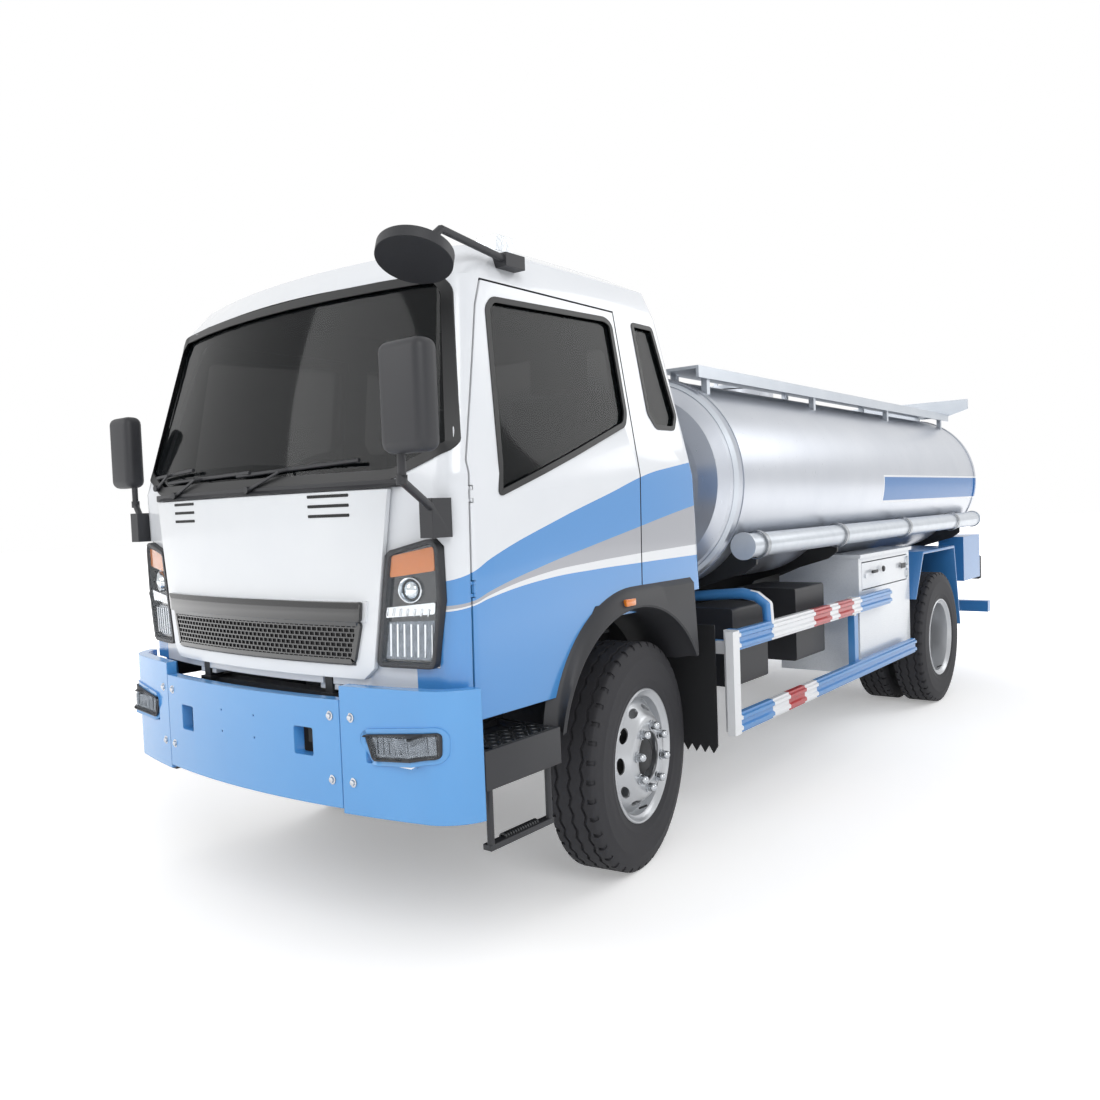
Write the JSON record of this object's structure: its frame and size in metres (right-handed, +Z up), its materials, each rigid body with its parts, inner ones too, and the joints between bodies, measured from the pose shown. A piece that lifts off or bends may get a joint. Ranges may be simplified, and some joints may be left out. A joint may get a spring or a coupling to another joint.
{
  "type": "tanker truck",
  "caption": "Two-axle cab-over tanker truck with a rounded metal tank, walkway, hose tubes, side guards, equipment box and a tilting cab with opening doors.",
  "frame": {"origin": "on the ground under the middle of the whole truck", "axes": "+X to the vehicle's left, +Y to its rear along its length, +Z up"},
  "size_m": [2.44, 7.05, 2.607],
  "materials": {
    "white_paint": "gloss",
    "blue_paint": "gloss",
    "frame_paint": "satin",
    "tank_metal": "satin",
    "bare_steel": "satin",
    "cast": "rough",
    "rim_paint": "satin",
    "tyre_rubber": "matte",
    "pane": "clear",
    "lamp_glass": "clear",
    "dark_plastic": "grained",
    "seat_cloth": "woven"
  },
  "bodies": {
    "chassis": {"chassis_frame": "frame_paint", "engine_block": "cast", "drive_line": "frame_paint", "leaf_springs": "bare_steel", "front_axle": "cast", "rear_axle": "cast", "bumper": "blue_paint", "chassis_lamps": "lamp_glass", "entry_steps": "dark_plastic", "mudguards": "blue_paint", "tank_shell": "tank_metal", "tank_subframe": "frame_paint", "hose_tubes": "tank_metal", "walkway": "tank_metal", "side_tanks": "frame_paint", "side_guards": "blue_paint", "equipment_box": "white_paint", "rear_bar": "blue_paint", "outlet_pipe": "tank_metal"},
    "cab": {"cab_shell": "white_paint", "cab_glass": "pane", "cab_lamps": "lamp_glass", "seats": "seat_cloth", "dashboard": "dark_plastic", "steering_wheel": "dark_plastic", "mirrors": "dark_plastic", "wheel_arches": "dark_plastic"},
    "front_panel": {"front_panel": "white_paint"},
    "door_left": {"door_left": "white_paint", "door_glass_left": "pane"},
    "door_right": {"door_right": "white_paint", "door_glass_right": "pane"},
    "knuckle_left": {"knuckle_left": "cast"},
    "knuckle_right": {"knuckle_right": "cast"},
    "tie_rod": {"tie_rod": "bare_steel"},
    "wheel_front_left": {"front_wheel_left": "rim_paint", "front_tyre_left": "tyre_rubber"},
    "wheel_front_right": {"front_wheel_right": "rim_paint", "front_tyre_right": "tyre_rubber"},
    "wheel_rear_left": {"rear_wheel_left": "rim_paint", "rear_tyres_left": "tyre_rubber"},
    "wheel_rear_right": {"rear_wheel_right": "rim_paint", "rear_tyres_right": "tyre_rubber"},
    "box_door": {"equipment_door": "white_paint"},
    "lid": {"manhole_lid": "tank_metal"}
  },
  "joints": [
    {"name": "cab_tilt", "type": "hinge", "parent": "chassis", "child": "cab", "pos_m": [0, -3.215, 0.965], "axis": [1, 0, 0], "range_deg": [0, 45]},
    {"name": "panel_flap", "type": "hinge", "parent": "cab", "child": "front_panel", "pos_m": [0, -3.289, 1.6452], "axis": [-1, 0, 0], "range_deg": [0, 60]},
    {"name": "door_left_swing", "type": "hinge", "parent": "cab", "child": "door_left", "pos_m": [0.994, -3.089, 1.46], "axis": [0, 0, -1], "range_deg": [0, 70]},
    {"name": "door_right_swing", "type": "hinge", "parent": "cab", "child": "door_right", "pos_m": [-0.994, -3.089, 1.46], "axis": [0, 0, 1], "range_deg": [0, 70]},
    {"name": "steer_left", "type": "hinge", "parent": "chassis", "child": "knuckle_left", "pos_m": [0.76, -2.075, 0.487], "axis": [0, 0, 1], "range_deg": [-43.5, 26.5]},
    {"name": "steer_right", "type": "hinge", "parent": "chassis", "child": "knuckle_right", "pos_m": [-0.76, -2.075, 0.487], "axis": [0, 0, 1], "range_deg": [-43.5, 26.5]},
    {"name": "tie_rod_eye", "type": "hinge", "parent": "knuckle_left", "child": "tie_rod", "pos_m": [0.73487, -1.90687, 0.407], "axis": [0, 0, 1], "range_deg": [-26.5, 43.5]},
    {"name": "front_left_spin", "type": "hinge", "parent": "knuckle_left", "child": "wheel_front_left", "pos_m": [0.76, -2.075, 0.487], "axis": [0.989, 0.1478, 0], "continuous": true},
    {"name": "front_right_spin", "type": "hinge", "parent": "knuckle_right", "child": "wheel_front_right", "pos_m": [-0.76, -2.075, 0.487], "axis": [0.989, 0.1478, 0], "continuous": true},
    {"name": "rear_left_spin", "type": "hinge", "parent": "chassis", "child": "wheel_rear_left", "pos_m": [0.855, 1.925, 0.487], "axis": [1, 0, 0], "continuous": true},
    {"name": "rear_right_spin", "type": "hinge", "parent": "chassis", "child": "wheel_rear_right", "pos_m": [-0.855, 1.925, 0.487], "axis": [1, 0, 0], "continuous": true},
    {"name": "box_door_swing", "type": "hinge", "parent": "chassis", "child": "box_door", "pos_m": [1.058, 1.3215, 1.06], "axis": [0, 0, 1], "range_deg": [0, 100]},
    {"name": "lid_swing", "type": "hinge", "parent": "chassis", "child": "lid", "pos_m": [0, 1.155, 2.364], "axis": [-1, 0, 0], "range_deg": [0, 100]}
  ],
  "couplings": [
    {"joint": "steer_right", "follows": "steer_left", "ratio": 1},
    {"joint": "tie_rod_eye", "follows": "steer_left", "ratio": -1}
  ]
}
